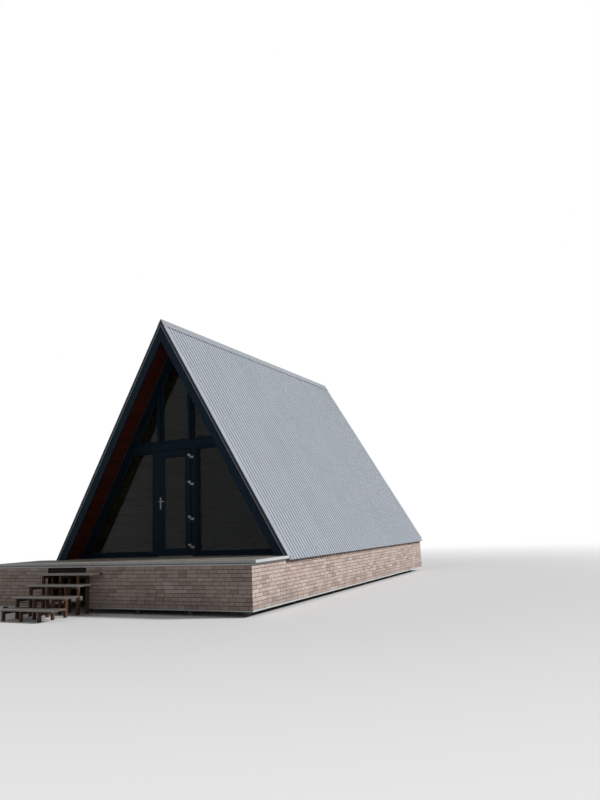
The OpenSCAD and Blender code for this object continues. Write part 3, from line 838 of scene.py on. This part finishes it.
def deck_planks():
    dice = random.Random(21)
    shape = Shape()
    gap = 5 * MM
    width = 140 * MM
    porch_rows = 3
    joist = 45 * MM
    bays = 12
    pitch = (joist_high.x - joist_low.x - joist) / bays
    middles = [joist_low.x + joist / 2 + i * pitch for i in range(bays + 1)]
    stop_bays = (8, 4, 7, 5)
    stops = [middles[i] for i in stop_bays]
    half = slope_x(ROOM_INSET, FLOOR_Z) - SIDE_GAP
    depth = Y_FRONT - deck_low.y + gap
    rows = round(depth / (width + gap))
    planks(shape, deck_low.x, deck_high.x, deck_low.y, Y_FRONT, rows, gap, stops, dice)
    for y1, y2 in ((Y_FRONT + gap, WALL_Y - WALL_GAP), (rear_high.y + WALL_GAP, Y_REAR)):
        planks(shape, -half, half, y1, y2, porch_rows, gap, stops[1:3], dice)
    piece("deck_planks", shape, deck_wood, stands_for=["deck_boards"])
    screws = Shape()
    margin = 30 * MM
    let_in = 1 * MM
    for row in range(rows):
        at = deck_low.y + row * depth / rows
        for middle in middles:
            for offset in (margin, depth / rows - gap - margin):
                head = lying(middle, at + offset, FLOOR_Z - let_in)
                lathe(screws, SUNK_HEAD, sides=8, place=head)
    piece("deck_screws", screws, pale_metal)


def tread_planks():
    """Two planks to a tread, with a metal nosing let into the front one."""
    dice = random.Random(22)
    wood_shape, metal_shape = Shape(), Shape()
    count = 4
    going = 300 * MM
    rise = 183 * MM
    thickness = 30 * MM
    edge = 1.5 * MM
    nosing = 2 * MM
    cover = 28 * MM
    split = 5 * MM
    half = (going - split - nosing - split) / 2
    length = treads_high.x - treads_low.x
    section = [
        (0, -thickness), (nosing, -thickness), (nosing, -nosing), (cover, -nosing), (cover, 0), (0, 0),
    ]
    for i in range(count):
        front = treads_low.y + (count - 1 - i) * going
        top = treads_high.z - i * rise
        for k, thick in enumerate((thickness - nosing, thickness)):
            place = lying(treads_low.x, front + nosing + k * (half + split), top - thickness)
            board(wood_shape, place, length, half, thick, edge, dice.random())
        verts = [(x, front + y, top + z) for x in (treads_low.x, treads_high.x) for y, z in section]
        metal_shape.add(verts, stacked(verts, len(section)), Matrix.Identity(4), 0.5)
    piece("tread_planks", wood_shape, tread_wood, stands_for=["stair_treads"])
    piece("tread_nosings", metal_shape, nosing_metal)


def deck_head_strip():
    """A pale strip on top of the skirt, in front of the rim and below the board ends."""
    shape = Shape()
    height = 28 * MM
    proud = 4 * MM
    edge = 1 * MM
    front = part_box("skirt_front_left")[LOW].y - proud
    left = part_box("skirt_deck_left")[LOW].x - proud
    right_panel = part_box("skirt_deck_right")[HIGH]
    right = right_panel.x + proud
    ends = (
        (left, right, front, rims_low.y),
        (left, rims_low.x, rims_low.y, rims_high.y),
        (rims_high.x, right, rims_low.y, right_panel.y),
    )
    for x1, x2, y1, y2 in ends:
        board(shape, lying(x1, y1, DECK_SKIRT_TOP), x2 - x1, y2 - y1, height, edge)
    piece("deck_head_strip", shape, strip_metal)


def slope_boards(name, side, spans, material, stands_for, seed, stop_pitch=None):
    """Boards under a slope that run along it, each in one length or, with a stop pitch, in several."""
    dice = random.Random(seed)
    shape = Shape()
    width = 121 * MM
    groove = 3 * MM
    ridge_gap = 2 * MM
    stagger = 0.9
    shortest = 0.4
    run_end = (RIDGE_Z - EAVE_Z - LINING_INSET * COS) / SIN
    run_start = LINING_INSET * TAN + ridge_gap
    rows = round((run_end - run_start) / width)
    pitch = (run_end - run_start) / rows
    for y1, y2 in spans:
        stops = int((y2 - y1) / stop_pitch) - 1 if stop_pitch else 0
        for row in range(rows):
            cuts = [y1]
            cuts += [y1 + stop_pitch * (k + 1) + (row % 3) * stagger for k in range(stops)]
            cuts = [y for y in cuts if y < y2 - shortest] + [y2]
            run = run_start + row * pitch
            last = run_start + (row + 1) * pitch - groove
            if row == 0:
                run = ROOM_INSET * TAN + ridge_gap
            if row == rows - 1:
                last = (RIDGE_Z - EAVE_Z - ROOM_INSET * COS) / SIN
            for start, end in zip(cuts, cuts[1:]):
                place = slope_facing(side, run, start, LINING_INSET + LINING)
                outline = rectangle(0, 0, last - run, end - start - BUTT_GAP)
                profile = [(BOARD_EDGE, 0), (0, BOARD_EDGE), (0, LINING)]
                loft(shape, outline, profile, place, dice.random())
    piece(name, shape, material, stands_for=stands_for)


def slopes_inside():
    for side, word in ((1, "right"), (-1, "left")):
        slope_boards(f"soffit_boards_{word}", side, [(Y_FRONT, WALL_Y), (rear_high.y, Y_REAR)],
                     stained_along_y, [f"soffit_{word}"], seed=31 + side)
        slope_boards(f"lining_boards_{word}", side, [(WALL_Y, rear_high.y)],
                     pine_along_y, [f"lining_{word}"], seed=41 + side, stop_pitch=2.6)


# Left, right, low and high edge of each rear window
REAR_WINDOWS = ((-0.6, 0.6, 1.846, 3.046), (-0.4, 0.4, 3.560, 4.360))
REAR_SASH = 60 * MM
CASING_WIDTH = 75 * MM


def gable_boards(shape, place, width, thickness, dice):
    """Upright boards over the rear gable, cut round its windows."""
    groove = 3 * MM
    narrowest = 8 * MM
    shortest = 10 * MM
    foot_gap = 1 * MM
    top_gap = 4 * MM
    edge = slope_x(ROOM_INSET, FLOOR_Z) - SIDE_GAP
    count = math.ceil(edge / width)
    profile = [(0, 0), (0, thickness - BOARD_EDGE), (BOARD_EDGE, thickness)]
    for i in range(-count, count):
        x1 = max(i * width + groove / 2, -edge)
        x2 = min((i + 1) * width - groove / 2, edge)
        if x2 - x1 < narrowest:
            continue
        ranges = [(FLOOR_Z + foot_gap, None)]
        for left, right, low, high in REAR_WINDOWS:
            if x2 > left - CASING_WIDTH and x1 < right + CASING_WIDTH:
                base = ranges.pop()[0]
                ranges += [(base, low - CASING_WIDTH), (high + CASING_WIDTH, None)]
        for low, high in ranges:
            tops = [high or slope_z(ROOM_INSET, abs(x)) - top_gap for x in (x1, x2)]
            outline = [(x1, low), (x2, low), (x2, tops[1]), (x1, tops[0])]
            if max(tops) <= low + shortest and min(tops) <= low:
                continue
            if min(tops) <= low:
                reach = slope_x(ROOM_INSET, low) - SIDE_GAP
                if tops[1] > tops[0]:
                    outline = [(-reach, low), (x2, low), (x2, tops[1])]
                else:
                    outline = [(x1, low), (reach, low), (x1, tops[0])]
            loft(shape, outline, profile, place, dice.random())


def window_outline(left, right, low, high):
    return lambda by: rectangle(left + by, low + by, right - by, high - by)


def rear_gable():
    dice = random.Random(51)
    outside = standing(0, rear_high.y, 0, Y_AXIS)
    inside = standing(0, rear_low.y, 0, -Y_AXIS)
    cladding, wall_boards, casings = Shape(), Shape(), Shape()
    gable_boards(cladding, outside, width=0.14, thickness=16 * MM, dice=dice)
    gable_boards(wall_boards, inside, width=0.12, thickness=12 * MM, dice=dice)
    outer = -CASING_WIDTH + 2 * MM
    casing = [(outer, 0), (outer, 22 * MM)] + mm((-6, 22), (-2, 18), (-2, 0))
    for window in REAR_WINDOWS:
        sweep(casings, window_outline(*window), casing, outside)
        sweep(casings, window_outline(*window), casing, inside)
    piece("rear_cladding", cladding, stained_upright)
    piece("rear_wall_boards", wall_boards, pine_upright)
    piece("rear_casings", casings, frame_foil)


def room_floor():
    dice = random.Random(52)
    shape = Shape()
    side_gap = 6 * MM
    rear_gap = 14 * MM
    width = 0.135
    first_length, first_step = 1.6, 1.1
    both_lengths, both_step = 5.1, 0.8
    half = slope_x(ROOM_INSET, FLOOR_Z) - side_gap
    count = int(2 * half / width)
    pitch = 2 * half / count
    start = WALL_BACK + WALL_GAP
    profile = mm((0, 0), (0, 5), (1, 6))
    for i in range(count):
        first_cut = start + first_length + (i % 3) * first_step
        second_cut = start + both_lengths + (i % 2) * both_step
        cuts = [start, first_cut, second_cut, rear_low.y - rear_gap]
        for y1, y2 in zip(cuts, cuts[1:]):
            outline = rectangle(0, 0, pitch - BUTT_GAP, y2 - y1 - BUTT_GAP)
            loft(shape, outline, profile, lying(-half + i * pitch, y1, FLOOR_Z), dice.random())
    piece("room_floor_boards", shape, pine_along_y)


# Glazing

SASH_WIDTH = 50 * MM
STILE = 135 * MM

# Sections of bead and seal: how far inside the edge of the frame, and how far above the pane
BEAD = mm((-1, -1), (-1, 18), (2, 19), (11, 9), (13, 5), (13, -1))
SEAL = mm((11, -0.5), (11, 4.5), (15, 4.5), (17.5, -0.5))


def lower_pane(by):
    low, high = SILL_Z + by, TRANSOM_Z - by
    inner = POST_OUTER + by
    outer_low, outer_high = (slope_x(RAKE_INSET + by, z) for z in (low, high))
    return [(inner, low), (outer_low, low), (outer_high, high), (inner, high)]


def side_pane(by):
    x, z = MULLION_OUTER + by, UPPER_Z + by
    return [(x, z), (slope_x(RAKE_INSET + by, z), z), (x, slope_z(RAKE_INSET + by, x))]


def centre_pane(by):
    x, z = MULLION_INNER - by, UPPER_Z + by
    inset = RAKE_INSET + by
    return [(-x, z), (x, z), (x, slope_z(inset, x)), (0, slope_z(inset, 0)), (-x, slope_z(inset, x))]


def flipped(outline_at):
    return lambda by: [(-x, z) for x, z in reversed(outline_at(by))]


def glazed(beads, seals, outline_at, edge, low_y, high_y):
    """On both faces of a pane, a sloped bead on the frame's rebate and a rubber seal beside it."""
    for face_y, out in ((low_y, -Y_AXIS), (high_y, Y_AXIS)):
        place = standing(0, face_y, 0, out)
        for shape, section in ((beads, BEAD), (seals, SEAL)):
            sweep(shape, outline_at, [(edge + by, height) for by, height in section], place)


def glazing():
    beads, seals = Shape(), Shape()
    panes = [lower_pane, flipped(lower_pane), side_pane, flipped(side_pane), centre_pane]
    for outline_at in panes:
        glazed(beads, seals, outline_at, SASH_WIDTH, glass_low.y, glass_high.y)
    for window in REAR_WINDOWS:
        glazed(beads, seals, window_outline(*window), REAR_SASH, rear_glass_low.y, rear_glass_high.y)
    piece("glazing_beads", beads, frame_foil)
    piece("glazing_seals", seals, seal_rubber)
    door_beads, door_seals = Shape(), Shape()
    outline_at = window_outline(leaf_low.x, leaf_high.x, leaf_low.z, leaf_high.z)
    glazed(door_beads, door_seals, outline_at, STILE, door_glass_low.y, door_glass_high.y)
    piece("door_beads", door_beads, frame_foil, "door")
    piece("door_glazing_seals", door_seals, seal_rubber, "door")


def door_frame_seal():
    """A rubber strip on the face of the stop, up one jamb, along the head and down the other jamb."""
    shape = Shape()
    stop_y = leaf_high.y + 5 * MM
    gap = 9 * MM
    low = FLOOR_Z + 20 * MM
    outline_at = window_outline(leaf_low.x - gap, leaf_high.x + gap, low, leaf_high.z + gap)
    section = mm((10, -0.5), (10, 2), (12, 4), (16, 4), (18, -0.5))
    strands = []
    for by, _ in section:
        low_left, low_right, high_right, high_left = outline_at(by)
        strands.append([(low_left[0], low), high_left, high_right, (low_right[0], low)])
    verts = [(*point, height) for corner in zip(*strands) for point, (_, height) in zip(corner, section)]
    shape.add(verts, stacked(verts, len(section)), standing(0, stop_y, 0, -Y_AXIS), 0.5)
    piece("door_frame_seal", shape, seal_rubber)


# Fixings

# Profiles, as pairs of radius and height
SUNK_HEAD = mm((4.5, 0), (4.5, 1.2), (2, 1.2), (1.6, 0.4))
PAN_HEAD = mm((4, 0), (4, 0.8), (2.8, 1.9), (1.2, 2.2))
WASHER = mm((9, 0), (9, 1.2), (7.5, 2.2))
HEXAGON = mm((5.2, 1.8), (5.2, 6.2), (4.3, 7))
CYLINDER = mm((8.5, -0.5), (8.5, 2), (7.5, 3), (5, 3), (4.5, 2))


def roof_screw(shape, place):
    lathe(shape, WASHER, sides=8, place=place)
    lathe(shape, HEXAGON, sides=6, place=place)


def roof_screws():
    """Rows of screws in the pans of each slope, and on each side one row through the ridge cap."""
    pan_middle = RIB_START + (RIB_WIDTH + RIB_PITCH) / 2
    rows = 9
    every = 3
    first_run = 0.30
    eave_margin = 0.12
    cap_margin = 40 * MM
    for side, word in ((1, "right"), (-1, "left")):
        shape = Shape()
        for row in range(rows):
            run = first_run + row * (SLOPE_LENGTH - first_run - eave_margin) / (rows - 1)
            for i in range(1, RIB_COUNT - 1, every):
                y = Y_FRONT + pan_middle + i * RIB_PITCH
                roof_screw(shape, slope_facing(side, run, y, PANEL_INSET - SHEET))
        for i in range(1, RIB_COUNT, every):
            y = Y_FRONT + RIB_START + i * RIB_PITCH + RIB_WIDTH / 2
            roof_screw(shape, slope_facing(side, CAP_REACH - cap_margin, y, CAP_INSET))
        piece(f"roof_screws_{word}", shape, cap_metal)


def verge_screws():
    """A row of screws down the face of each verge flashing."""
    shape = Shape()
    count = 10
    first_run = 0.35
    margins = 0.6
    face = 28 * MM
    inset = 40 * MM
    for side in (1, -1):
        for y, out in ((Y_FRONT - face, -Y_AXIS), (Y_REAR + face, Y_AXIS)):
            for i in range(count):
                run = first_run + i * (SLOPE_LENGTH - margins) / (count - 1)
                head = standing(*on_slope(side, run, y, inset), out)
                lathe(shape, PAN_HEAD, sides=8, place=head)
    piece("verge_screws", shape, trim_metal_painted_shade)


# Hinges: heights above the eave, and the places of the screws on both plates
HINGE_HEIGHTS = (0.250, 0.835, 1.575, 2.155)
HINGE_PLATE = 5 * MM
LEAF_SCREWS_X = (0.364, 0.394)
POST_SCREWS_X = (0.458, 0.488)
HINGE_SCREWS_Z = (12 * MM, 34 * MM)

# Places on the lever's plate, above and below the lever's middle
CORE_DROP = 82 * MM
UPPER_SCREW = 72 * MM
LOWER_SCREW = -142 * MM


def hinge_screws(name, xs, plate_y, up, body):
    shape = Shape()
    for height in HINGE_HEIGHTS:
        for x in xs:
            for z in HINGE_SCREWS_Z:
                head = standing(x, plate_y, EAVE_Z + height + up * z, -Y_AXIS)
                lathe(shape, PAN_HEAD, sides=10, place=head)
    piece(name, shape, pale_metal, body)


def door_hardware_details():
    """Lock cylinders and screws on the lever's plates, and the screws of the hinges."""
    shape = Shape()
    middle = (plates_low.x + plates_high.x) / 2
    lever_z = (lever_low.z + lever_high.z) / 2
    for face, out in ((plates_low.y, -Y_AXIS), (plates_high.y, Y_AXIS)):
        core = standing(middle, face, lever_z - CORE_DROP, out)
        lathe(shape, CYLINDER, sides=24, place=core, stretch=1.35)
        for height in (UPPER_SCREW, LOWER_SCREW):
            head = standing(middle, face, lever_z + height, out)
            lathe(shape, PAN_HEAD, sides=12, place=head)
    piece("lock_cylinders", shape, white_metal, "door")
    hinge_screws("hinge_screws_leaf", LEAF_SCREWS_X, leaf_low.y - HINGE_PLATE, 1, "door")
    hinge_screws("hinge_screws_frame", POST_SCREWS_X, WALL_Y - HINGE_PLATE, -1, "cabin")


skirt_bricks()
deck_planks()
deck_head_strip()
tread_planks()
slopes_inside()
rear_gable()
room_floor()
glazing()
door_frame_seal()
roof_screws()
verge_screws()
door_hardware_details()


# Stage, light and camera

WHITE = (1, 1, 1, 1)
FLOOR_SIZE = 300.0
FLOOR_BOUNCE = 0.36
FLOOR_TONE = 0.92
FADE_START, FADE_END = 5.0, 24.0
WORLD_LIGHT = 0.20
SUN_TOWARDS = (-0.84, -0.22, -0.50)
SUN_STRENGTH = 3.0
SUN_ANGLE = math.radians(8)
CAMERA_PLACE = (8.786, -15.312, 1.496)
CAMERA_YAW = math.radians(26.376)
CAMERA_PITCH = math.radians(10.949)
CAMERA_ROLL = math.radians(-2.484)
LENS = 29.064
SENSOR = 36
CLIP_END = 1000


def floor_material():
    """Floor that is paler to the camera than to the light that it throws back, and white far out."""
    material = bpy.data.materials.new("pale floor")
    nodes = Nodes(material)
    seen = nodes.seen_directly()
    diffuse = nodes.node("BsdfDiffuse", Color=nodes.spread(seen, 0, 1, FLOOR_BOUNCE, FLOOR_TONE))
    glow = nodes.node("Emission", Color=WHITE)
    fade = nodes.spread(nodes.from_origin(), FADE_START, FADE_END, kind="SMOOTHSTEP")
    mix = nodes.node("MixShader", Fac=nodes.calc("MULTIPLY", fade, seen))
    for socket, shader in zip(mix.inputs[1:], (diffuse, glow)):
        nodes.feed(socket, shader.outputs[0])
    nodes.node("OutputMaterial", Surface=mix.outputs["Shader"])
    return material


def stage_floor():
    mesh = bpy.data.meshes.new("stage_floor")
    corners = rectangle(-FLOOR_SIZE, -FLOOR_SIZE, FLOOR_SIZE, FLOOR_SIZE)
    mesh.from_pydata([(x, y, 0) for x, y in corners], [], [(0, 1, 2, 3)])
    mesh.materials.append(floor_material())
    obj = new_object("stage_floor", mesh)


def world_light():
    """Even light from all round. It looks white to the camera, in gloss and through glass."""
    world = bpy.data.worlds.new("studio")
    nodes = Nodes(world)
    level = nodes.spread(nodes.seen_directly(), 0, 1, WORLD_LIGHT, 1.0)
    background = nodes.node("Background", Color=WHITE, Strength=level)
    nodes.node("OutputWorld", Surface=background.outputs["Background"])
    bpy.context.scene.world = world


def sun():
    light = bpy.data.lights.new("sun", "SUN")
    light.energy = SUN_STRENGTH
    light.angle = SUN_ANGLE
    obj = new_object("sun", light)
    obj.rotation_mode = "QUATERNION"
    obj.rotation_quaternion = Vector(SUN_TOWARDS).to_track_quat("-Z", "Y")


def camera():
    """Camera at the photograph's viewpoint, fitted to the roof, the gable and the deck."""
    yaw, pitch, roll = CAMERA_YAW, CAMERA_PITCH, CAMERA_ROLL
    forward = Vector((-math.sin(yaw) * math.cos(pitch), math.cos(yaw) * math.cos(pitch), math.sin(pitch)))
    level = Vector((math.cos(yaw), math.sin(yaw), 0))
    upwards = level.cross(forward)
    right = level * math.cos(roll) + upwards * math.sin(roll)
    up = upwards * math.cos(roll) - level * math.sin(roll)
    data = bpy.data.cameras.new("camera")
    data.lens = LENS
    data.sensor_width = SENSOR
    data.clip_end = CLIP_END
    obj = new_object("camera", data)
    obj.matrix_world = facing(Vector(CAMERA_PLACE), right, up, -forward)
    bpy.context.scene.camera = obj


stage_floor()
world_light()
sun()
camera()
bpy.context.scene.view_settings.view_transform = "Standard"
